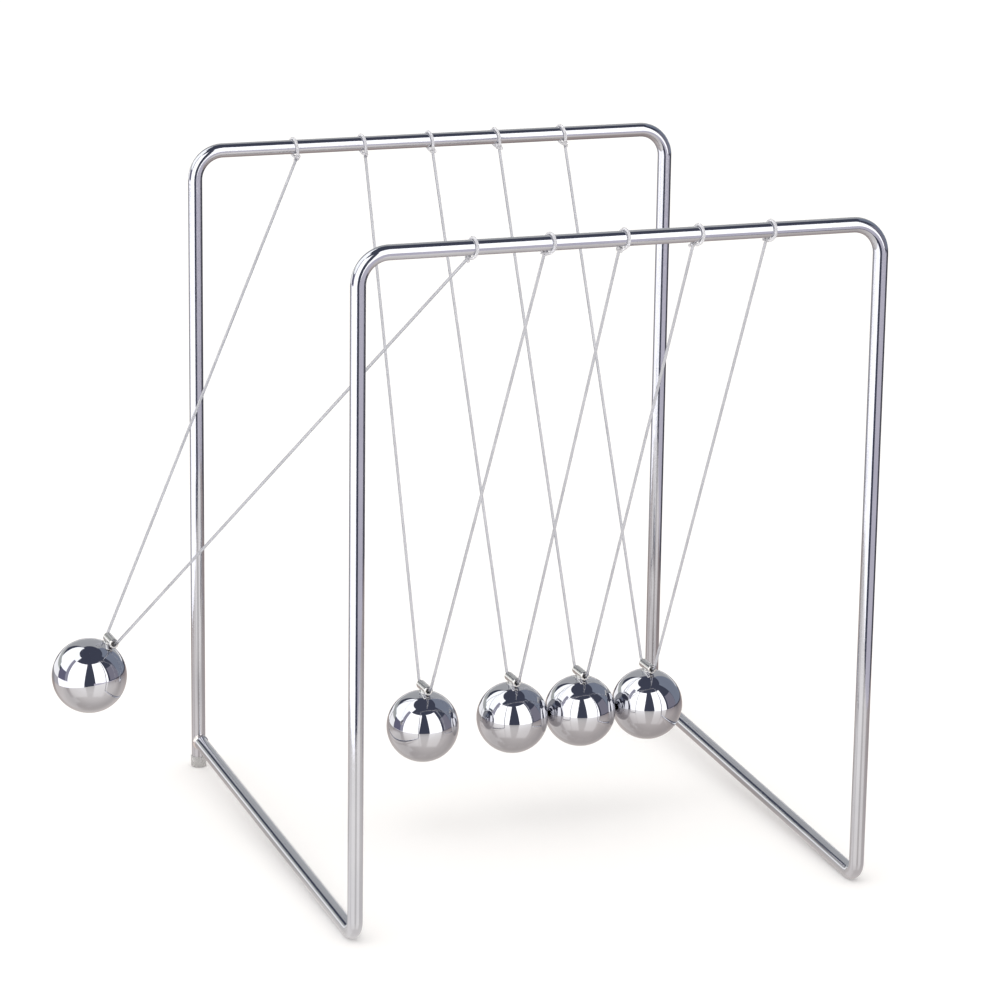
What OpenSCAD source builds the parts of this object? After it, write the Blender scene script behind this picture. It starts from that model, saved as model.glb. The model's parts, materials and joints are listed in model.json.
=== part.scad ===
// Newton's cradle: five polished steel balls, each hung on a V of clear nylon
// line between two bent chrome rods. The frame is a front rod, which bends back
// along the floor into two rails, welded to a back rod.
// Millimetres. X runs along the row of balls, Y from front to back, Z up.
// The origin is on the floor, under the middle of the frame.

/* [Frame] */
// Distance between the left and right legs, axis to axis
frame_w = 142; // [134:1:170]
// Distance between the front and back legs, axis to axis
frame_d = 147; // [130:1:170]
// Height of the two top bars above the floor, at their axis
bar_z = 181; // [176:1:190]
// Diameter of the chrome-plated rod
rod_d = 4; // [3.6:0.1:4.4]
// Bend radius of the top corners, at the rod's axis
top_bend_r = 8; // [7:0.5:10]
// Bend radius where the front legs turn into the rails, at the rod's axis
floor_bend_r = 4; // [3.5:0.5:6]
// Height that each rail gains from the front corner to the back leg
rail_rise = 6; // [5:0.5:8]

/* [Feet and welds] */
// Outer diameter of the soft cap on each back leg
cap_d = 4.5; // [4.5:0.1:5]
// Height of the cap
cap_h = 3.2; // [2.8:0.1:3.4]
// Thickness of the cap under the end of the leg
cap_floor = 0.7; // [0.5:0.1:1]
// Diameter of the weld bead round each rail's end
weld_d = 5.4; // [5.2:0.1:5.6]

/* [Balls] */
// Ball diameter
ball_d = 20; // [18:0.5:20]
// Free gap between neighbouring balls when all of them hang straight down
ball_gap = 0.2; // [0.1:0.05:0.3]
// Height of a hanging ball's centre above the floor
ball_z = 31; // [29:0.5:33]
// How far the row of balls sits to the right of the frame's middle
row_shift = -1.2; // [-3:0.1:3]
// Angle at which the first ball is held out to the left
first_angle = 33; // [20:1:60]
// Angle at which the second ball trails behind it
second_angle = 2.4; // [1:0.1:6]

/* [Lugs and lines] */
// Outer diameter of the small tube on top of each ball
lug_d = 2.5; // [2.3:0.1:2.8]
// Bore of that tube
lug_bore = 1.3; // [1.1:0.1:1.5]
// Length of the tube
lug_l = 7; // [6:0.5:10]
// Height of the tube's axis above the ball's centre
lug_rise = 11; // [10.9:0.1:11.8]
// Diameter of the nylon line
line_d = 0.8; // [0.6:0.1:0.9]
// Diameter of the knot that ties each end of a line under its bar
knot_d = 2; // [1.8:0.1:2.2]

/* [Hidden] */
$fn = 48;
rod_r = rod_d / 2;
line_r = line_d / 2;
leg_x = frame_w / 2;
leg_y = frame_d / 2;
// A line bends over the mouth of its lug on this radius
line_bend_r = 2.2 * line_d;
// Clearance between pieces that only lie against each other
skin = 0.03;
// Slope of the rails
rail_slope = atan(rail_rise / frame_d);
rail_start_y = -leg_y + floor_bend_r * (1 + sin(rail_slope));
rail_start_z = rod_r + floor_bend_r * (1 - cos(rail_slope));
rail_l = (leg_y - rail_start_y) / cos(rail_slope);
// Where the rail's axis meets the back leg's axis
joint_z = rail_start_z + rail_l * sin(rail_slope);
// The turn of line round the bar sits beside the knot
turn_x = knot_d / 2 + 0.2;
turn_r = rod_r + line_r + skin;
// The knot's centre is the pivot of its line: it hangs under the bar, inboard
knot_reach = rod_r + knot_d / 2 + skin;
lean = atan((leg_y - lug_l / 2) / (bar_z - ball_z - lug_rise));
pivot_y = leg_y - knot_reach * sin(lean);
pivot_z = bar_z - knot_reach * cos(lean);
pendulum_l = pivot_z - ball_z;
// Heights below are measured from the pivots, in the ball's own hanging frame
lug_z = -pendulum_l + lug_rise;
// The lug's foot starts inside the ball, which is then cut out of it
foot_h = lug_rise - ball_d / 2 + 0.5;
foot_d = 0.8 * lug_d;
// The line leaves its bend on the tangent that runs to the pivot
span_y = pivot_y - lug_l / 2;
span_z = -lug_z - line_bend_r;
span = sqrt(span_y * span_y + span_z * span_z);
line_lean = atan(span_y / span_z) - asin(line_bend_r / span);
line_run = sqrt(span * span - line_bend_r * line_bend_r);
// Free gap between the knot and the end of the moving line
knot_gap = 0.15;
pitch = ball_d + ball_gap;
COUNT = 5;
ANGLES = [-first_angle, -second_angle, 0, 0, 0];

function ball_x(i) = row_shift + (i - (COUNT + 1) / 2) * pitch;

// A straight length of rod along +Z
module rod(l) { cylinder(h = l, d = rod_d); }

// A bend in the XY plane: it starts at (r, 0), heads for +Y and turns round the origin.
// A ball a hair wider than the rod closes the slanting seam at its far end.
module bend(r, angle, d) {
    rotate_extrude(angle = angle) translate([r, 0]) circle(d = d);
    if (angle != 90) rotate(angle) translate([r, 0]) sphere(d = d + skin);
}

// The top bar with its two corner bends, at y = 0, and legs down to the height leg_end
module arch(leg_end) {
    inner_x = leg_x - top_bend_r;
    shoulder_z = bar_z - top_bend_r;
    translate([-inner_x, 0, bar_z]) rotate([0, 90, 0]) rod(2 * inner_x);
    for (side = [0, 1]) mirror([side, 0, 0]) {
        translate([inner_x, 0, shoulder_z]) rotate([90, 0, 0]) bend(top_bend_r, 90, rod_d);
        translate([leg_x, 0, leg_end]) rod(shoulder_z - leg_end);
    }
}

// The rail, which climbs from the floor bend to the back leg, at x = 0
module rail() {
    translate([0, rail_start_y, rail_start_z]) rotate([rail_slope - 90, 0, 0]) rod(rail_l);
}

// The rail with the bend at the floor
module floor_bend_and_rail() {
    translate([0, -leg_y + floor_bend_r, rod_r + floor_bend_r])
        rotate([0, 90, 0]) rotate([0, 0, -90])
            bend(floor_bend_r, 90 + rail_slope, rod_d);
    rail();
}

// What the back leg takes out of a piece that lies against it, from below the floor upwards
module back_leg_space() { translate([0, leg_y, -1]) rod(bar_z); }

module front_frame() {
    color("#c9ccd1") {
        translate([0, -leg_y, 0]) arch(rod_r + floor_bend_r);
        for (x = [-leg_x, leg_x]) translate([x, 0, 0]) difference() {
            floor_bend_and_rail();
            back_leg_space();
        }
    }
}

module back_frame() {
    color("#c9ccd1") translate([0, leg_y, 0]) arch(cap_floor);
}

// A bead of weld fills the corner all round the rail's end
module weld(x) {
    color("#b9b2a8") translate([x, 0, 0]) difference() {
        translate([0, leg_y - rod_r, joint_z]) sphere(d = weld_d);
        back_leg_space();
        rail();
    }
}

module foot_cap(x) {
    color("#d8d5cc") translate([x, leg_y, 0]) difference() {
        cylinder(h = cap_h, d = cap_d);
        translate([0, 0, cap_floor]) cylinder(h = cap_h, d = rod_d);
    }
}

// One turn of line round the bar, beside its knot, which hangs under the bar. inward is 1 on the
// front bar and -1 on the back bar. The knot's sphere is turned so that its seam faces away from
// the turn.
module loop(i, y, inward) {
    color("#e9ebf2") translate([ball_x(i), y, bar_z]) {
        translate([inward * turn_x, 0, 0]) rotate([0, 90, 0])
            rotate_extrude() translate([turn_r, 0]) circle(d = line_d);
        translate([0, inward * (leg_y - pivot_y), pivot_z - bar_z])
            rotate([0, 0, 90 + 90 * inward]) sphere(d = knot_d);
    }
}

// Places a child that is drawn hanging from a pivot at the origin
module swing(i) {
    translate([ball_x(i), 0, pivot_z]) rotate([0, -ANGLES[i - 1], 0]) children();
}

module ball(i) {
    color("#d4d6dc") swing(i) translate([0, 0, -pendulum_l]) sphere(d = ball_d);
}

// A short tube on a small foot that is welded to the top of the ball
module lug(i) {
    color("#bfc2c8") swing(i) difference() {
        union() {
            translate([0, lug_l / 2, lug_z]) rotate([90, 0, 0]) cylinder(h = lug_l, d = lug_d);
            translate([0, 0, lug_z - foot_h]) cylinder(h = foot_h, d = foot_d);
        }
        translate([0, lug_l, lug_z]) rotate([90, 0, 0]) cylinder(h = 2 * lug_l, d = lug_bore);
        translate([0, 0, -pendulum_l]) sphere(d = ball_d);
    }
}

// One length of nylon: up from the lug to both bars, and straight through the lug
module line(i) {
    color("#dfe1ee") swing(i) {
        translate([0, lug_l / 2, lug_z]) rotate([90, 0, 0]) cylinder(h = lug_l, d = line_d);
        for (side = [0, 1]) mirror([0, side, 0]) {
            translate([0, lug_l / 2, lug_z + line_bend_r])
                rotate([0, 90, 0]) bend(line_bend_r, 90 - line_lean, line_d);
            translate([0, pivot_y, 0]) rotate([180 - line_lean, 0, 0])
                translate([0, 0, knot_d / 2 + knot_gap])
                    cylinder(h = line_run - knot_d / 2 - knot_gap, d = line_d);
        }
    }
}

front_frame();
back_frame();
weld(-leg_x);  // weld_left
weld(leg_x);  // weld_right
foot_cap(-leg_x);  // foot_cap_left
foot_cap(leg_x);  // foot_cap_right
for (i = [1:COUNT]) {
    ball(i);
    lug(i);
    line(i);
    loop(i, -leg_y, 1);
    loop(i, leg_y, -1);
}
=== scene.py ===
"""A newton's cradle: five polished steel balls on nylon lines, between two bent chrome rods.

The sections follow the order in which the cradle is put together: the camera and the room it stands
in, the rods, their welds and caps, and then each ball with its lug, its line and its knots.
Lengths are in metres, and X runs along the row of balls, Y from front to back, Z up.
"""
import json
import math
import random

import bmesh
import bpy
from mathutils import Matrix, Vector, noise


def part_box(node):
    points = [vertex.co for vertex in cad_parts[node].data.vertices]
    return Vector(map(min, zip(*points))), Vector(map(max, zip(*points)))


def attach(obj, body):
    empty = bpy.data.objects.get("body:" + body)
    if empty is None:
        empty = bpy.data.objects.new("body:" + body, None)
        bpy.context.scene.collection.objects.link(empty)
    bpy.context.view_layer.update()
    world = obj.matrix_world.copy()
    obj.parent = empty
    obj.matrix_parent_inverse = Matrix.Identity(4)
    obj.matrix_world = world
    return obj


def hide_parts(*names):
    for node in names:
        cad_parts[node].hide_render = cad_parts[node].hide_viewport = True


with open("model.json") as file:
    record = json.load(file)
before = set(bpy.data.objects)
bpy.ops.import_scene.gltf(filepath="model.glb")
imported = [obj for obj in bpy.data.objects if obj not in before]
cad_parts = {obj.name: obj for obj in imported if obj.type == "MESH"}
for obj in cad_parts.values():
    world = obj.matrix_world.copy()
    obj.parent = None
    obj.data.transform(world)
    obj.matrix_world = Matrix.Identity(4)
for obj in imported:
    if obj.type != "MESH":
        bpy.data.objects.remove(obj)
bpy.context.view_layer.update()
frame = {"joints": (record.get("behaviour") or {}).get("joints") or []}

# --- Camera -------------------------------------------------------------------------------------
# A long lens 1.1 m away, to the left of the frame's front and looking down on it. It is rolled by
# less than a degree, and everything is in focus.
MM = 0.001
CAMERA_PLACE = Vector((-370.9, -989.5, 380.1)) * MM
CAMERA_TURN = math.radians(20.27)
CAMERA_DIP = math.radians(15.19)
CAMERA_ROLL = math.radians(0.83)
# Focal length and sensor width, in millimetres as the camera takes them
CAMERA_LENS = 143.3
CAMERA_SENSOR = 36
CAMERA_REACH = 50

camera = bpy.data.objects.new("camera", bpy.data.cameras.new("camera"))
bpy.context.scene.collection.objects.link(camera)
bpy.context.scene.camera = camera
camera.data.lens = CAMERA_LENS
camera.data.sensor_width = CAMERA_SENSOR
camera.data.clip_end = CAMERA_REACH
camera.matrix_world = (
    Matrix.Translation(CAMERA_PLACE)
    @ Matrix.Rotation(-CAMERA_TURN, 4, "Z")
    @ Matrix.Rotation(math.pi / 2 - CAMERA_DIP, 4, "X")
    @ Matrix.Rotation(CAMERA_ROLL, 4, "Z")
)


# --- Floor --------------------------------------------------------------------------------------
# A white paper floor. Polished metal mirrors a glowing table top in its place, with painted light: bright
# in front and painted shade towards the back and the right, so that the metal stands out against the paper.
FLOOR_R = 7
FLOOR_WHITE = "#ffffff"
FLOOR_CLOUD = "#fdfcfb"
DISC_STEPS = 128
# Painted light on the glowing table: its bright colour near the windows, its painted shade far from them,
# where the light is centred and how far it fades
TABLE_PAINTED_LIT = "#fffbf7"
TABLE_PAINTED_SHADE = "#b4a39c"
TABLE_R = 250 * MM
TABLE_PAINTED_LIGHT_SPOT = (-120 * MM, -230 * MM, 0)
TABLE_PAINTED_LIGHT_REACH = (150 * MM, 420 * MM)
# A soft painted shadow of the row of balls on the table, this wide to each side
PAINTED_ROW_SHADOW = 42 * MM
PAINTED_ROW_SHADE = 0.76
TABLE_ROUGHNESS = 0.13
TABLE_VARNISH_IOR = 2.1


def linear(colour):
    """The linear colour of an sRGB hex value."""
    parts = [int(colour[i : i + 2], 16) / 255 for i in (1, 3, 5)]
    return [p / 12.92 if p <= 0.04045 else ((p + 0.055) / 1.055) ** 2.4 for p in parts] + [1]


def per_mm(size):
    """The texture scale at which one cell of a pattern is size millimetres wide."""
    return 1 / (size * MM)


def blank_material(name):
    """A new material with no nodes yet, and its tree."""
    material = bpy.data.materials.new(name)
    material.use_nodes = True
    material.node_tree.nodes.clear()
    return material, material.node_tree


def add_node(tree, kind, inputs=None, **settings):
    """Adds a node with its settings. An input takes a value or another node's socket."""
    made = tree.nodes.new(kind)
    for name, value in settings.items():
        setattr(made, name, value)
    for name, value in (inputs or {}).items():
        if isinstance(value, bpy.types.NodeSocket):
            tree.links.new(value, made.inputs[name])
        else:
            made.inputs[name].default_value = value
    return made


def matt_paper():
    """Smooth drawing paper: matt, with a faint cloudiness in its tone."""
    material, tree = blank_material("matt_paper")
    place = add_node(tree, "ShaderNodeTexCoord").outputs["Object"]
    cloud = add_node(tree, "ShaderNodeTexNoise", {"Vector": place, "Scale": per_mm(90)})
    tone = add_node(
        tree,
        "ShaderNodeMix",
        {0: cloud.outputs["Fac"], 6: linear(FLOOR_WHITE), 7: linear(FLOOR_CLOUD)},
        data_type="RGBA",
    )
    shader = add_node(
        tree,
        "ShaderNodeBsdfPrincipled",
        {"Base Color": tone.outputs[2], "Roughness": 1.0, "Specular IOR Level": 0.0},
    )
    add_node(tree, "ShaderNodeOutputMaterial", {"Surface": shader.outputs[0]})
    return material


def painted_light_table():
    """A pale table that glows with painted light, brightest nearest the windows and fading into painted
    shade away from them, with a painted shadow under the row of balls.
    """
    material, tree = blank_material("painted_light_table")
    place = add_node(tree, "ShaderNodeTexCoord").outputs["Object"]
    # Painted light: the table glows brighter the nearer it is to the windows' spot
    away = add_node(
        tree, "ShaderNodeVectorMath", {0: place, 1: TABLE_PAINTED_LIGHT_SPOT}, operation="DISTANCE"
    )
    fade = add_node(
        tree,
        "ShaderNodeMapRange",
        {"Value": away.outputs["Value"], "From Min": TABLE_PAINTED_LIGHT_REACH[0], "From Max": TABLE_PAINTED_LIGHT_REACH[1]},
    )
    tone = add_node(
        tree,
        "ShaderNodeMix",
        {0: fade.outputs["Result"], 6: linear(TABLE_PAINTED_LIT), 7: linear(TABLE_PAINTED_SHADE)},
        data_type="RGBA",
    )
    parts = add_node(tree, "ShaderNodeSeparateXYZ", {0: place})
    aside = add_node(tree, "ShaderNodeMath", {0: parts.outputs["Y"]}, operation="ABSOLUTE")
    # Painted shadow: the table's glow is dimmed under the row of balls
    painted_row_shadow = add_node(
        tree,
        "ShaderNodeMapRange",
        {
            "Value": aside.outputs[0],
            "From Min": 0,
            "From Max": PAINTED_ROW_SHADOW,
            "To Min": PAINTED_ROW_SHADE,
            "To Max": 1,
        },
        interpolation_type="SMOOTHSTEP",
    )
    light = add_node(
        tree,
        "ShaderNodeEmission",
        {"Color": tone.outputs[2], "Strength": painted_row_shadow.outputs["Result"]},
    )
    gloss = add_node(tree, "ShaderNodeBsdfAnisotropic", {"Roughness": TABLE_ROUGHNESS})
    varnish = add_node(tree, "ShaderNodeFresnel", {"IOR": TABLE_VARNISH_IOR})
    both = add_node(
        tree, "ShaderNodeMixShader", {0: varnish.outputs[0], 1: light.outputs[0], 2: gloss.outputs[0]}
    )
    add_node(tree, "ShaderNodeOutputMaterial", {"Surface": both.outputs[0]})
    return material


def disc(name, radius, material):
    """A flat disc lying on the ground."""
    bm = bmesh.new()
    turns = [2 * math.pi * i / DISC_STEPS for i in range(DISC_STEPS)]
    bm.faces.new([bm.verts.new((radius * math.cos(t), radius * math.sin(t), 0)) for t in turns])
    mesh = bpy.data.meshes.new(name)
    bm.to_mesh(mesh)
    bm.free()
    made = bpy.data.objects.new(name, mesh)
    bpy.context.scene.collection.objects.link(made)
    mesh.materials.append(material)
    return made


floor = disc("floor", FLOOR_R, matt_paper())
floor.visible_glossy = False
table = disc("table", TABLE_R, painted_light_table())
table.visible_camera = False
table.visible_diffuse = False
table.visible_transmission = False
table.visible_shadow = False

# --- Room ---------------------------------------------------------------------------------------
# What the polished metal mirrors: two tall windows in front with a dark gap between them, a third
# high on the left, and grey walls. Only reflections and clear pieces see it.
ROOM_R = 12
ROOM_GREY = "#4b4f5f"
# Each panel stands a little nearer than the one before it, so that no two of them touch
PANEL_START = 0.96
PANEL_STEP = 0.01
# A panel has this many faces along each side, and one more for every so many degrees
PATCH_STEPS = 12
PATCH_ARC = 3
# Name, colour, strength, the turns of its lower and upper edges from the camera, and its rises
ROOM = [
    ("window_left", "#ffffff", 1.9, (-66, -10), (-60, -3), (-8, 51)),
    ("window_right", "#ffffff", 1.9, (24, 66), (17, 60), (-8, 52)),
    ("window_side", "#f8fafb", 1.7, (-128, -68), (-150, -52), (14, 66)),
    ("wall_between", "#a9a8b8", 1.0, (-74, -64), (-74, -60), (-8, 50)),
    ("sill_right", "#e4e0ee", 0.9, (22, 98), (19, 96), (-42, -8)),
    ("sill_left", "#fbfbff", 1.8, (-104, -12), (-104, -10), (-42, -8)),
    ("wall_left", "#77758c", 1.0, (-104, -74), (-100, -74), (-8, 14)),
    ("floor_left", "#c9c7cc", 1.0, (-128, -104), (-128, -104), (-48, -8)),
    ("wall_far_left", "#c3c7c4", 1.0, (-150, -104), (-150, -112), (7, 18)),
    ("strip_far_left", "#ffffff", 1.3, (-150, -104), (-150, -104), (-8, 7)),
    ("floor_far_left", "#a3a2a5", 1.0, (-180, -128), (-180, -128), (-60, -8)),
    ("wall_right", "#8d8b99", 1.0, (72, 106), (68, 98), (-6, 28)),
    ("wall_far_right", "#8b93a3", 1.0, (106, 152), (94, 152), (-6, 58)),
    ("floor_right", "#55545e", 1.0, (98, 180), (96, 180), (-60, -6)),
    ("wall_back", "#bcbec0", 1.0, (150, 212), (150, 212), (3, 60)),
    ("strip_light_back", "#ffffff", 1.5, (150, 212), (150, 212), (-1, 3)),
]


def glow(name, colour, strength):
    """An even light, for the polished metal to mirror."""
    material, tree = blank_material(name)
    light = add_node(
        tree, "ShaderNodeEmission", {"Color": linear(colour), "Strength": strength}
    )
    add_node(tree, "ShaderNodeOutputMaterial", {"Surface": light.outputs[0]})
    return material


def toward(turn, rise, distance):
    """The point that far away, turned to the right of the camera and raised by degrees."""
    heading = math.radians(turn) - CAMERA_TURN
    flat = math.cos(math.radians(rise)) * distance
    up = math.sin(math.radians(rise)) * distance
    return Vector((flat * math.sin(heading), -flat * math.cos(heading), up))


def patch(name, colour, strength, low_turns, high_turns, rises, distance):
    """A piece of the room's wall between its turns, from its lower rise to its upper one."""
    span = max(low_turns[1] - low_turns[0], rises[1] - rises[0])
    steps = PATCH_STEPS + int(span / PATCH_ARC)
    bm = bmesh.new()
    rows = []
    for i in range(steps + 1):
        up = i / steps
        left = low_turns[0] + up * (high_turns[0] - low_turns[0])
        right = low_turns[1] + up * (high_turns[1] - low_turns[1])
        rise = rises[0] + up * (rises[1] - rises[0])
        turns = [left + (right - left) * j / steps for j in range(steps + 1)]
        rows.append([bm.verts.new(toward(turn, rise, distance)) for turn in turns])
    for below, above in zip(rows, rows[1:]):
        for j in range(steps):
            bm.faces.new((below[j], below[j + 1], above[j + 1], above[j]))
    mesh = bpy.data.meshes.new(name)
    bm.to_mesh(mesh)
    bm.free()
    made = bpy.data.objects.new(name, mesh)
    bpy.context.scene.collection.objects.link(made)
    mesh.materials.append(glow(name, colour, strength))
    made.visible_camera = False
    made.visible_diffuse = False
    made.visible_shadow = False


patch("room", ROOM_GREY, 1.0, (-180, 180), (-180, 180), (-89.9, 89.9), ROOM_R)
for number, (name, colour, strength, low_turns, high_turns, rises) in enumerate(ROOM):
    nearer = ROOM_R * (PANEL_START - PANEL_STEP * number)
    patch(name, colour, strength, low_turns, high_turns, rises, nearer)

# --- Light --------------------------------------------------------------------------------------
# Even white light from all round for the floor, and one broad lamp above for a soft shadow. The
# lamp shows in no reflection.
SKY_WHITE = "#fffdfb"
SKY_STRENGTH = 1.08
LAMP_PLACE = Vector((-500, -300, 1300)) * MM
LAMP_SIZE = 900 * MM
LAMP_POWER = 1.5

bpy.context.scene.view_settings.view_transform = "Standard"
sky = bpy.data.worlds.new("even_white")
sky.use_nodes = True
sky.node_tree.nodes["Background"].inputs["Color"].default_value = linear(SKY_WHITE)
sky.node_tree.nodes["Background"].inputs["Strength"].default_value = SKY_STRENGTH
bpy.context.scene.world = sky

lamp = bpy.data.objects.new("lamp", bpy.data.lights.new("lamp", "AREA"))
bpy.context.scene.collection.objects.link(lamp)
lamp.data.energy = LAMP_POWER
lamp.data.size = LAMP_SIZE
lamp.location = LAMP_PLACE
lamp.rotation_euler = (-LAMP_PLACE).to_track_quat("-Z", "Y").to_euler()
lamp.visible_glossy = False

# --- Front rod ----------------------------------------------------------------------------------
# One 4 mm steel rod, chrome-plated after bending. It makes the front arch, turns back at the floor
# on two tight bends, and runs on as the two side rails to the back legs.
back_low, back_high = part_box("back_frame")
ROD_R = (back_high.y - back_low.y) / 2
LEG_X = back_high.x - ROD_R
LEG_Y = back_high.y - ROD_R
BAR_Z = back_high.z - ROD_R
TOP_BEND_R = 8 * MM
FLOOR_BEND_R = 4 * MM
RAIL_RISE = 6 * MM
RAIL_SLOPE = math.atan(RAIL_RISE / (2 * LEG_Y))
RAIL_START_Z = ROD_R + FLOOR_BEND_R * (1 - math.cos(RAIL_SLOPE))
RAIL_START_Y = -LEG_Y + FLOOR_BEND_R * (1 + math.sin(RAIL_SLOPE))
# Where the lines of leg and rail cross under the floor bend, and where the rail meets the back leg
FLOOR_CORNER_Z = RAIL_START_Z - (RAIL_START_Y + LEG_Y) * math.tan(RAIL_SLOPE)
RAIL_END_Z = RAIL_START_Z + (LEG_Y - RAIL_START_Y) * math.tan(RAIL_SLOPE)
ROD_SIDES = 64
# Degrees of bend to each step of a path, the width of a seam that is closed, and the angle past
# which an edge stays sharp
BEND_STEP = 3.5
SEAM = 1e-7
SHARP_ANGLE = 40


def bright_chrome():
    """Chromium plate over drawn rod: a near mirror that waves a little, hazed by fine wiping marks."""
    material, tree = blank_material("bright_chrome_plate")
    place = add_node(tree, "ShaderNodeTexCoord").outputs["Object"]
    cloud = add_node(
        tree, "ShaderNodeTexNoise", {"Vector": place, "Scale": per_mm(14), "Detail": 3}
    )
    tone = add_node(
        tree,
        "ShaderNodeMix",
        {0: cloud.outputs["Fac"], 6: linear("#d6d6da"), 7: linear("#c3c4ca")},
        data_type="RGBA",
    )
    marks = add_node(
        tree, "ShaderNodeTexNoise", {"Vector": place, "Scale": per_mm(0.6), "Detail": 5}
    )
    haze = add_node(
        tree,
        "ShaderNodeMapRange",
        {"Value": marks.outputs["Fac"], "From Min": 0.35, "From Max": 0.75, "To Min": 0.05, "To Max": 0.16},
    )
    waves = add_node(
        tree, "ShaderNodeTexNoise", {"Vector": place, "Scale": per_mm(7), "Detail": 1}
    )
    bump = add_node(
        tree, "ShaderNodeBump", {"Height": waves.outputs["Fac"], "Distance": 0.03 * MM, "Strength": 1.0}
    )
    shader = add_node(
        tree,
        "ShaderNodeBsdfPrincipled",
        {
            "Base Color": tone.outputs[2],
            "Metallic": 1.0,
            "Roughness": haze.outputs["Result"],
            "Normal": bump.outputs["Normal"],
        },
    )
    add_node(tree, "ShaderNodeOutputMaterial", {"Surface": shader.outputs[0]})
    return material


def rounded_path(corners, radii):
    """The points of a path through the corners, with an arc of each radius at the inner ones."""
    points = [corners[0]]
    for before, corner, after, radius in zip(corners, corners[1:], corners[2:], radii):
        into = (corner - before).normalized()
        out = (after - corner).normalized()
        turn = into.angle(out)
        start = corner - into * radius * math.tan(turn / 2)
        side = (out - into * into.dot(out)).normalized()
        steps = math.ceil(math.degrees(turn) / BEND_STEP)
        for i in range(steps + 1):
            a = turn * i / steps
            points.append(start + into * radius * math.sin(a) + side * radius * (1 - math.cos(a)))
    return points + [corners[-1]]


def round_sweep():
    """A tree that sweeps a round section along a path of edges, and closes its two ends."""
    tree = bpy.data.node_groups.new("round_sweep", "GeometryNodeTree")
    for label, kind in (
        ("Path", "NodeSocketGeometry"),
        ("Radius", "NodeSocketFloat"),
        ("Sides", "NodeSocketInt"),
        ("Finish", "NodeSocketMaterial"),
    ):
        tree.interface.new_socket(label, in_out="INPUT", socket_type=kind)
    tree.interface.new_socket("Rod", in_out="OUTPUT", socket_type="NodeSocketGeometry")
    given = add_node(tree, "NodeGroupInput").outputs
    path = add_node(tree, "GeometryNodeMeshToCurve", {"Mesh": given["Path"]})
    section = add_node(
        tree,
        "GeometryNodeCurvePrimitiveCircle",
        {"Resolution": given["Sides"], "Radius": given["Radius"]},
    )
    swept = add_node(
        tree,
        "GeometryNodeCurveToMesh",
        {"Curve": path.outputs[0], "Profile Curve": section.outputs[0], "Fill Caps": True},
    )
    real = add_node(tree, "GeometryNodeRealizeInstances", {"Geometry": swept.outputs[0]})
    painted = add_node(
        tree, "GeometryNodeSetMaterial", {"Geometry": real.outputs[0], "Material": given["Finish"]}
    )
    add_node(tree, "NodeGroupOutput", {"Rod": painted.outputs[0]})
    return tree


SWEEP = round_sweep()


def smooth_piece(name, mesh, sharp_angle=SHARP_ANGLE):
    """Puts a finished mesh in the scene, smooth but for edges sharper than the angle."""
    mesh.name = name
    mesh.polygons.foreach_set("use_smooth", [True] * len(mesh.polygons))
    mesh.set_sharp_from_angle(angle=math.radians(sharp_angle))
    made = bpy.data.objects.new(name, mesh)
    bpy.context.scene.collection.objects.link(made)
    return made


def swept(name, points, radius, sides, material):
    """A rod or a line along the points, as a plain closed mesh."""
    path = bpy.data.meshes.new(name)
    path.from_pydata(points, [(i, i + 1) for i in range(len(points) - 1)], [])
    carrier = bpy.data.objects.new(name + "_path", path)
    bpy.context.scene.collection.objects.link(carrier)
    sweep = carrier.modifiers.new("sweep", "NODES")
    sweep.node_group = SWEEP
    for socket in SWEEP.interface.items_tree:
        value = {"Radius": radius, "Sides": sides, "Finish": material}.get(socket.name)
        if value is not None:
            sweep[socket.identifier] = value
    graph = bpy.context.evaluated_depsgraph_get()
    mesh = bpy.data.meshes.new_from_object(carrier.evaluated_get(graph))
    bpy.data.objects.remove(carrier)
    bm = bmesh.new()
    bm.from_mesh(mesh)
    bmesh.ops.remove_doubles(bm, verts=bm.verts, dist=SEAM)
    bmesh.ops.recalc_face_normals(bm, faces=bm.faces)
    bm.to_mesh(mesh)
    bm.free()
    return smooth_piece(name, mesh)


chrome = bright_chrome()
# The rail stops inside the back leg
rail_end_y = LEG_Y - ROD_R / 2
front_rod = swept(
    "front_rod",
    rounded_path(
        [
            Vector((-LEG_X, rail_end_y, RAIL_END_Z)),
            Vector((-LEG_X, -LEG_Y, FLOOR_CORNER_Z)),
            Vector((-LEG_X, -LEG_Y, BAR_Z)),
            Vector((LEG_X, -LEG_Y, BAR_Z)),
            Vector((LEG_X, -LEG_Y, FLOOR_CORNER_Z)),
            Vector((LEG_X, rail_end_y, RAIL_END_Z)),
        ],
        [FLOOR_BEND_R, TOP_BEND_R, TOP_BEND_R, FLOOR_BEND_R],
    ),
    ROD_R,
    ROD_SIDES,
    chrome,
)
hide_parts("front_frame")
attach(front_rod, "frame")

# --- Back rod -----------------------------------------------------------------------------------
# The second rod is a plain arch, bent and plated like the first. Its legs run down past the rails
# to the floor.
back_rod = swept(
    "back_rod",
    rounded_path(
        [
            Vector((-LEG_X, LEG_Y, back_low.z)),
            Vector((-LEG_X, LEG_Y, BAR_Z)),
            Vector((LEG_X, LEG_Y, BAR_Z)),
            Vector((LEG_X, LEG_Y, back_low.z)),
        ],
        [TOP_BEND_R, TOP_BEND_R],
    ),
    ROD_R,
    ROD_SIDES,
    chrome,
)
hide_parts("back_frame")
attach(back_rod, "frame")

# --- Welds --------------------------------------------------------------------------------------
# A bead of steel all round each rail's end, where it is welded to the back leg. The plating covers
# it, so it shines, but it stays lumpy and keeps a straw tint from the heat.
WELD_R = 2.35 * MM
# Ripples round a bead, and how many lumps there are to its radius. Heights are in bead radii
RIPPLES = 7
RIPPLE = 0.015
LUMPS = 1.6
LUMP = 0.07


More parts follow.
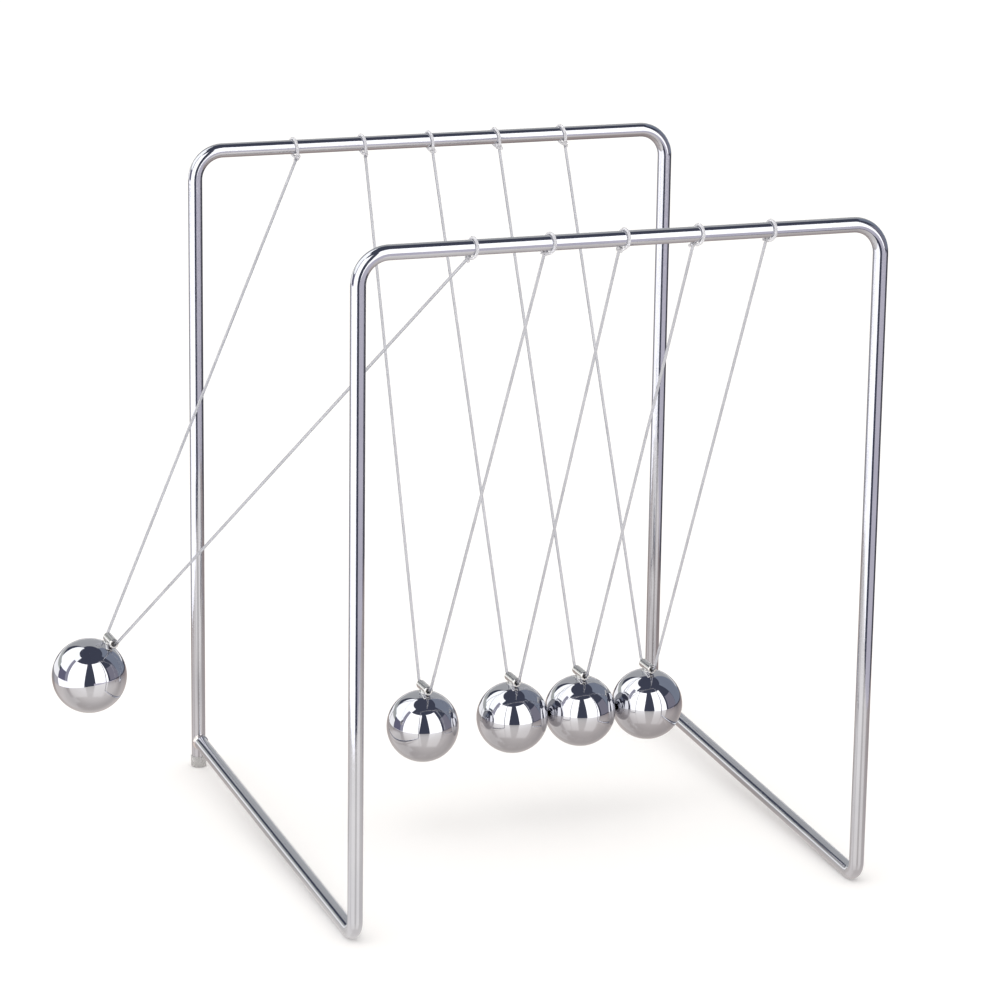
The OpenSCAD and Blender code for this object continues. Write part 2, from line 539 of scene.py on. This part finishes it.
def plated_weld():
    """Weld metal under plating: ripples and pits from the arc, in a warmer, duller chrome."""
    material, tree = blank_material("plated_weld")
    place = add_node(tree, "ShaderNodeTexCoord").outputs["Object"]
    heat = add_node(
        tree, "ShaderNodeTexNoise", {"Vector": place, "Scale": per_mm(2.5), "Detail": 2}
    )
    tone = add_node(
        tree,
        "ShaderNodeMix",
        {0: heat.outputs["Fac"], 6: linear("#f4f2f1"), 7: linear("#e0cfc4")},
        data_type="RGBA",
    )
    pits = add_node(
        tree, "ShaderNodeTexNoise", {"Vector": place, "Scale": per_mm(0.9), "Detail": 3}
    )
    haze = add_node(
        tree,
        "ShaderNodeMapRange",
        {"Value": pits.outputs["Fac"], "From Min": 0.3, "From Max": 0.7, "To Min": 0.14, "To Max": 0.4},
    )
    bump = add_node(
        tree, "ShaderNodeBump", {"Height": pits.outputs["Fac"], "Distance": 0.02 * MM, "Strength": 1.0}
    )
    shader = add_node(
        tree,
        "ShaderNodeBsdfPrincipled",
        {
            "Base Color": tone.outputs[2],
            "Metallic": 1.0,
            "Roughness": haze.outputs["Result"],
            "Normal": bump.outputs["Normal"],
        },
    )
    add_node(tree, "ShaderNodeOutputMaterial", {"Surface": shader.outputs[0]})
    return material


def bead(name, centre, material):
    """A lumpy ball of weld, rippled round the rail as the arc laid it down."""
    bm = bmesh.new()
    bmesh.ops.create_icosphere(bm, subdivisions=5, radius=1)
    for vert in bm.verts:
        way = vert.co.copy()
        ripple = RIPPLE * math.sin(RIPPLES * math.atan2(way.x, way.z))
        lump = LUMP * noise.noise(way * LUMPS + centre * 100)
        vert.co = centre + way * WELD_R * (0.97 + ripple + lump)
    mesh = bpy.data.meshes.new(name)
    bm.to_mesh(mesh)
    bm.free()
    mesh.materials.append(material)
    return smooth_piece(name, mesh, 180)


weld_metal = plated_weld()
for side, x in (("left", -LEG_X), ("right", LEG_X)):
    weld = bead("weld_bead_" + side, Vector((x, LEG_Y - ROD_R, RAIL_END_Z)), weld_metal)
    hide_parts("weld_" + side)
    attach(weld, "frame")

# --- Foot caps ----------------------------------------------------------------------------------
# A short cup of clear soft vinyl, dipped and cut, pushed on to the end of each back leg. It holds
# by its own stretch, and keeps the bare end of the rod off the table.
cap_low, cap_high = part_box("foot_cap_left")
CAP_R = (cap_high.x - cap_low.x) / 2
CAP_H = cap_high.z
CAP_FLOOR = back_low.z
CAP_ROUND = 0.35 * MM
VINYL_IOR = 1.53
VINYL_CLEARNESS = 0.5
TURNED_STEPS = 64


def clear_vinyl():
    """Plasticised PVC, dip-moulded: clear but cloudy, with dust on its skin."""
    material, tree = blank_material("clear_vinyl")
    place = add_node(tree, "ShaderNodeTexCoord").outputs["Object"]
    cloud = add_node(
        tree, "ShaderNodeTexNoise", {"Vector": place, "Scale": per_mm(1.2), "Detail": 3}
    )
    tone = add_node(
        tree,
        "ShaderNodeMix",
        {0: cloud.outputs["Fac"], 6: linear("#ffffff"), 7: linear("#dbd8d5")},
        data_type="RGBA",
    )
    haze = add_node(
        tree,
        "ShaderNodeMapRange",
        {"Value": cloud.outputs["Fac"], "From Min": 0.3, "From Max": 0.7, "To Min": 0.15, "To Max": 0.4},
    )
    bump = add_node(
        tree, "ShaderNodeBump", {"Height": cloud.outputs["Fac"], "Distance": 0.015 * MM, "Strength": 1.0}
    )
    shader = add_node(
        tree,
        "ShaderNodeBsdfPrincipled",
        {
            "Base Color": tone.outputs[2],
            "Roughness": haze.outputs["Result"],
            "IOR": VINYL_IOR,
            "Transmission Weight": VINYL_CLEARNESS,
            "Normal": bump.outputs["Normal"],
        },
    )
    add_node(tree, "ShaderNodeOutputMaterial", {"Surface": shader.outputs[0]})
    return material


def turn(bm, profile, place, closed=False):
    """Turns a profile of (radius, height) points round the Z axis, and puts it in its place.
    An open profile starts and ends on the axis, and a closed one makes a ring."""
    angles = [2 * math.pi * i / TURNED_STEPS for i in range(TURNED_STEPS)]
    rings = []
    for radius, height in profile:
        if radius < 1e-9:
            rings.append([bm.verts.new(place @ Vector((0, 0, height)))] * TURNED_STEPS)
            continue
        spots = [Vector((radius * math.cos(a), radius * math.sin(a), height)) for a in angles]
        rings.append([bm.verts.new(place @ spot) for spot in spots])
    pairs = list(zip(rings, rings[1:])) + ([(rings[-1], rings[0])] if closed else [])
    for below, above in pairs:
        for i in range(TURNED_STEPS):
            j = (i + 1) % TURNED_STEPS
            corners = [below[i], below[j], above[j], above[i]]
            bm.faces.new(sorted(set(corners), key=corners.index))


def turned_piece(name, bm, material, sharp_angle=SHARP_ANGLE):
    """Makes a piece of what turn() has made, with its faces pointing outwards."""
    bmesh.ops.recalc_face_normals(bm, faces=bm.faces)
    mesh = bpy.data.meshes.new(name)
    bm.to_mesh(mesh)
    bm.free()
    mesh.materials.append(material)
    return smooth_piece(name, mesh, sharp_angle)


def quarter(centre_r, centre_z, radius, first, last, steps=6):
    """The points of an arc in a profile, between two angles above the outward direction."""
    points = []
    for i in range(steps + 1):
        a = math.radians(first + (last - first) * i / steps)
        points.append((centre_r + radius * math.cos(a), centre_z + radius * math.sin(a)))
    return points


vinyl = clear_vinyl()
lip = (CAP_R - ROD_R) / 2
cup = (
    [(0, 0)]
    + quarter(CAP_R - CAP_ROUND, CAP_ROUND, CAP_ROUND, -90, 0)
    + quarter(CAP_R - lip, CAP_H - lip, lip, 0, 180)
    + [(ROD_R, CAP_FLOOR), (0, CAP_FLOOR)]
)
for side, x in (("left", -LEG_X), ("right", LEG_X)):
    bm = bmesh.new()
    turn(bm, cup, Matrix.Translation((x, LEG_Y, 0)))
    cap = turned_piece("cap_" + side, bm, vinyl)
    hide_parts("foot_cap_" + side)
    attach(cap, "frame")

# --- Balls --------------------------------------------------------------------------------------
# Bearing balls of through-hardened steel, lapped to a mirror. Each has a small flat ground on top,
# where its lug is welded on. They are drawn hanging, and then swung to their places.
COUNT = 5
joints = {joint["child"]: Vector(joint["pos_m"]) for joint in frame["joints"]}
PIVOTS = [joints[f"pendulum_{i + 1}"] for i in range(COUNT)]
BALLS = [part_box(f"ball_{i + 1}") for i in range(COUNT)]
CENTRES = [(low + high) / 2 for low, high in BALLS]
BALL_R = (BALLS[0][1].z - BALLS[0][0].z) / 2
DROP = (CENTRES[2] - PIVOTS[2]).length
FLAT_R = 1.1 * MM
BALL_STEPS = 72


def lapped_steel():
    """Lapped bearing steel: a clean mirror, with a trace of fine scratches and finger haze."""
    material, tree = blank_material("lapped_bearing_steel")
    place = add_node(tree, "ShaderNodeTexCoord").outputs["Object"]
    touch = add_node(
        tree, "ShaderNodeTexNoise", {"Vector": place, "Scale": per_mm(8), "Detail": 4}
    )
    tone = add_node(
        tree,
        "ShaderNodeMix",
        {0: touch.outputs["Fac"], 6: linear("#d6d6da"), 7: linear("#cacacf")},
        data_type="RGBA",
    )
    haze = add_node(
        tree,
        "ShaderNodeMapRange",
        {"Value": touch.outputs["Fac"], "From Min": 0.4, "From Max": 0.8, "To Min": 0.02, "To Max": 0.09},
    )
    shader = add_node(
        tree,
        "ShaderNodeBsdfPrincipled",
        {"Base Color": tone.outputs[2], "Metallic": 1.0, "Roughness": haze.outputs["Result"]},
    )
    add_node(tree, "ShaderNodeOutputMaterial", {"Surface": shader.outputs[0]})
    return material


def hang(i):
    """Takes a point drawn straight below a pivot at the origin to where pendulum i hangs."""
    down = CENTRES[i] - PIVOTS[i]
    return Matrix.Translation(PIVOTS[i]) @ Matrix.Rotation(math.atan2(-down.x, -down.z), 4, "Y")


steel = lapped_steel()
flat_angle = math.degrees(math.acos(FLAT_R / BALL_R))
ball_profile = [(0, -BALL_R)] + quarter(0, 0, BALL_R, -88, flat_angle, BALL_STEPS)
ball_profile.append((0, ball_profile[-1][1]))
for i in range(COUNT):
    bm = bmesh.new()
    turn(bm, ball_profile, hang(i) @ Matrix.Translation((0, 0, -DROP)))
    ball = turned_piece(f"steel_ball_{i + 1}", bm, steel)
    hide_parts(f"ball_{i + 1}")
    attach(ball, f"pendulum_{i + 1}")

# --- Lugs ---------------------------------------------------------------------------------------
# A short length of steel tube on a stub, resistance-welded to the ball's flat. The tube's mouths
# are chamfered, so they don't cut the line, and the weld leaves a small collar round the stub.
LUG_R = 1.25 * MM
LUG_BORE_R = 0.65 * MM
LUG_L = 7 * MM
LUG_RISE = 11 * MM
STUB_R = 1.0 * MM
COLLAR_R = 1.7 * MM
CHAMFER = 0.18 * MM
COLLAR_H = 0.45 * MM
# How far the stub reaches into the ball
STUB_SINK = 0.3 * MM


def bright_tube():
    """Drawn stainless tube, tumbled after cutting: bright, with soft drawing marks."""
    material, tree = blank_material("bright_steel_tube")
    place = add_node(tree, "ShaderNodeTexCoord").outputs["Object"]
    marks = add_node(
        tree, "ShaderNodeTexNoise", {"Vector": place, "Scale": per_mm(0.35), "Detail": 4}
    )
    tone = add_node(
        tree,
        "ShaderNodeMix",
        {0: marks.outputs["Fac"], 6: linear("#eaeaea"), 7: linear("#c6c3bf")},
        data_type="RGBA",
    )
    haze = add_node(
        tree,
        "ShaderNodeMapRange",
        {"Value": marks.outputs["Fac"], "From Min": 0.3, "From Max": 0.7, "To Min": 0.08, "To Max": 0.25},
    )
    bump = add_node(
        tree, "ShaderNodeBump", {"Height": marks.outputs["Fac"], "Distance": 0.02 * MM, "Strength": 1.0}
    )
    shader = add_node(
        tree,
        "ShaderNodeBsdfPrincipled",
        {
            "Base Color": tone.outputs[2],
            "Metallic": 1.0,
            "Roughness": haze.outputs["Result"],
            "Normal": bump.outputs["Normal"],
        },
    )
    add_node(tree, "ShaderNodeOutputMaterial", {"Surface": shader.outputs[0]})
    return material


tube_steel = bright_tube()
mouth = LUG_L / 2
half_tube = [
    (LUG_BORE_R, 0),
    (LUG_BORE_R, mouth - CHAMFER),
    (LUG_BORE_R + CHAMFER, mouth),
    (LUG_R - CHAMFER, mouth),
    (LUG_R, mouth - CHAMFER),
    (LUG_R, 0),
]
tube_profile = half_tube + [(r, -z) for r, z in reversed(half_tube[1:-1])]
flat_z = ball_profile[-1][1]
stub_top = LUG_RISE - LUG_BORE_R - 0.1 * MM
stub_profile = (
    [(0, flat_z - STUB_SINK), (COLLAR_R, flat_z - STUB_SINK)]
    + quarter(COLLAR_R - 0.1 * MM, flat_z, 0.12 * MM, 0, 70)
    + [
        (STUB_R + 0.35 * MM, flat_z + 0.2 * MM),
        (STUB_R + 0.12 * MM, flat_z + 0.32 * MM),
        (STUB_R, flat_z + COLLAR_H),
        (STUB_R, stub_top),
        (0, stub_top),
    ]
)
along_y = Matrix.Rotation(math.pi / 2, 4, "X")
for i in range(COUNT):
    at_ball = hang(i) @ Matrix.Translation((0, 0, -DROP))
    bm = bmesh.new()
    turn(bm, tube_profile, at_ball @ Matrix.Translation((0, 0, LUG_RISE)) @ along_y, closed=True)
    turn(bm, stub_profile, at_ball)
    lug = turned_piece(f"tube_lug_{i + 1}", bm, tube_steel, 25)
    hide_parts(f"lug_{i + 1}")
    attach(lug, f"pendulum_{i + 1}")

# --- Lines --------------------------------------------------------------------------------------
# Clear nylon monofilament, 0.8 mm thick. One length comes down from the front bar, goes straight
# through the lug and up to the back bar, and hangs taut under the ball's weight.
LINE_R = 0.4 * MM
LINE_BEND_R = 2.2 * 2 * LINE_R
KNOT_R = 1.0 * MM
SKIN = 0.03 * MM
KNOT_REACH = ROD_R + KNOT_R + SKIN
LEAN = math.atan((LEG_Y - LUG_L / 2) / (BAR_Z - CENTRES[2].z - LUG_RISE))
PIVOT_Y = LEG_Y - KNOT_REACH * math.sin(LEAN)
LINE_SIDES = 20
# The lug rides on the line, so the line lies against the top of its bore
LINE_LIFT = 0.22 * MM
NYLON_IOR = 1.53


def nylon(name, clear_tone, cloudy_tone, clearness):
    """Extruded nylon: clear, with a faint cloudiness. Where it has been worked it turns whiter."""
    material, tree = blank_material(name)
    place = add_node(tree, "ShaderNodeTexCoord").outputs["Object"]
    cloud = add_node(
        tree, "ShaderNodeTexNoise", {"Vector": place, "Scale": per_mm(6), "Detail": 3}
    )
    tone = add_node(
        tree,
        "ShaderNodeMix",
        {0: cloud.outputs["Fac"], 6: linear(clear_tone), 7: linear(cloudy_tone)},
        data_type="RGBA",
    )
    haze = add_node(
        tree,
        "ShaderNodeMapRange",
        {"Value": cloud.outputs["Fac"], "From Min": 0.3, "From Max": 0.7, "To Min": 0.02, "To Max": 0.1},
    )
    shader = add_node(
        tree,
        "ShaderNodeBsdfPrincipled",
        {
            "Base Color": tone.outputs[2],
            "Roughness": haze.outputs["Result"],
            "IOR": NYLON_IOR,
            "Transmission Weight": clearness,
        },
    )
    add_node(tree, "ShaderNodeOutputMaterial", {"Surface": shader.outputs[0]})
    return material


def line_route():
    """The line's route below a pivot at the origin, from its front knot to its back one."""
    lug_z = LUG_RISE - DROP + LINE_LIFT
    span_y = PIVOT_Y - LUG_L / 2
    span_z = -lug_z - LINE_BEND_R
    line_lean = math.atan(span_y / span_z) - math.asin(LINE_BEND_R / math.hypot(span_y, span_z))
    corner_y = LUG_L / 2 + LINE_BEND_R * math.tan((math.pi / 2 - line_lean) / 2)
    corners = [
        Vector((0, -PIVOT_Y, 0)),
        Vector((0, -corner_y, lug_z)),
        Vector((0, corner_y, lug_z)),
        Vector((0, PIVOT_Y, 0)),
    ]
    return rounded_path(corners, [LINE_BEND_R, LINE_BEND_R])


clear_nylon = nylon("clear_nylon", "#d9dae0", "#b4b5bc", 0.85)
for i in range(COUNT):
    route = [hang(i) @ point for point in line_route()]
    line = swept(f"nylon_line_{i + 1}", route, LINE_R, LINE_SIDES, clear_nylon)
    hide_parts(f"line_{i + 1}")
    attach(line, f"pendulum_{i + 1}")

# --- Knots --------------------------------------------------------------------------------------
# Each end of a line goes once round its bar, aslant, comes back under it, and is knotted on itself
# with a wrap and a half and a short tail. The knot hangs on the side next to the balls.
TURN_R = ROD_R + LINE_R + SKIN
TURN_SLANT = 1.2 * MM
WRAP_R = 0.5 * MM
WRAP_PITCH = 0.75 * MM
WRAPS = 1.5
TAIL = 0.6 * MM


def ease(t):
    """Goes from 0 to 1 with a soft start and end."""
    t = min(max(t, 0), 1)
    return t * t * (3 - 2 * t)


def soften(points, rounds):
    """Rounds a path's corners by moving each inner point towards its neighbours."""
    for _ in range(rounds):
        inner = [
            (before + 2 * point + after) / 4
            for before, point, after in zip(points, points[1:], points[2:])
        ]
        points = [points[0]] + inner + [points[-1]]
    return points


def knot_route(bar, inward, along, chance):
    """From the knot, up the inner side of the bar and round it, back to the knot and its wraps."""
    slant = TURN_SLANT * chance.uniform(0.8, 1.25)
    points = []
    for degrees in range(0, 361, 6):
        rise = ease(degrees / 60)
        home = ease((degrees - 300) / 60)
        x = inward * slant * math.sin(math.pi * (degrees / 360) ** 1.6)
        reach = TURN_R + (KNOT_REACH - TURN_R) * (1 - rise + home)
        a = LEAN + math.radians(degrees)
        points.append(bar + Vector((x, inward * reach * math.sin(a), -reach * math.cos(a))))
    knot = points[-1]
    across = along.cross(Vector((0, 1, 0))).normalized()
    ahead = across.cross(along)
    start = chance.uniform(0, 360)
    steps = int(WRAPS * 18)
    for k in range(steps + 1):
        a = math.radians(start + 20 * k)
        level = WRAP_PITCH * WRAPS * (k / steps - 0.5)
        points.append(
            knot + along * level + (across * math.cos(a) + ahead * math.sin(a)) * WRAP_R
        )
    tangent = (points[-1] - points[-2]).normalized()
    away = (points[-1] - knot - along * level).normalized()
    points.append(points[-1] + tangent * TAIL / 2 + away * TAIL / 6)
    points.append(points[-1] + tangent * TAIL / 3 + away * TAIL / 2)
    return soften(points, 2)


worked_nylon = nylon("worked_nylon", "#ffffff", "#eeeef6", 0.45)
for i in range(COUNT):
    for bar_name, y, inward in (("front", -LEG_Y, 1), ("back", LEG_Y, -1)):
        chance = random.Random(f"{bar_name} {i}")
        arm = Vector((0, inward * math.sin(LEAN), -math.cos(LEAN)))
        along = (hang(i).to_3x3() @ arm).normalized()
        knot = swept(
            f"{bar_name}_knot_{i + 1}",
            knot_route(Vector((PIVOTS[i].x, y, BAR_Z)), inward, along, chance),
            LINE_R,
            LINE_SIDES,
            worked_nylon,
        )
        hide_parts(f"{bar_name}_loop_{i + 1}")
        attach(knot, "frame")
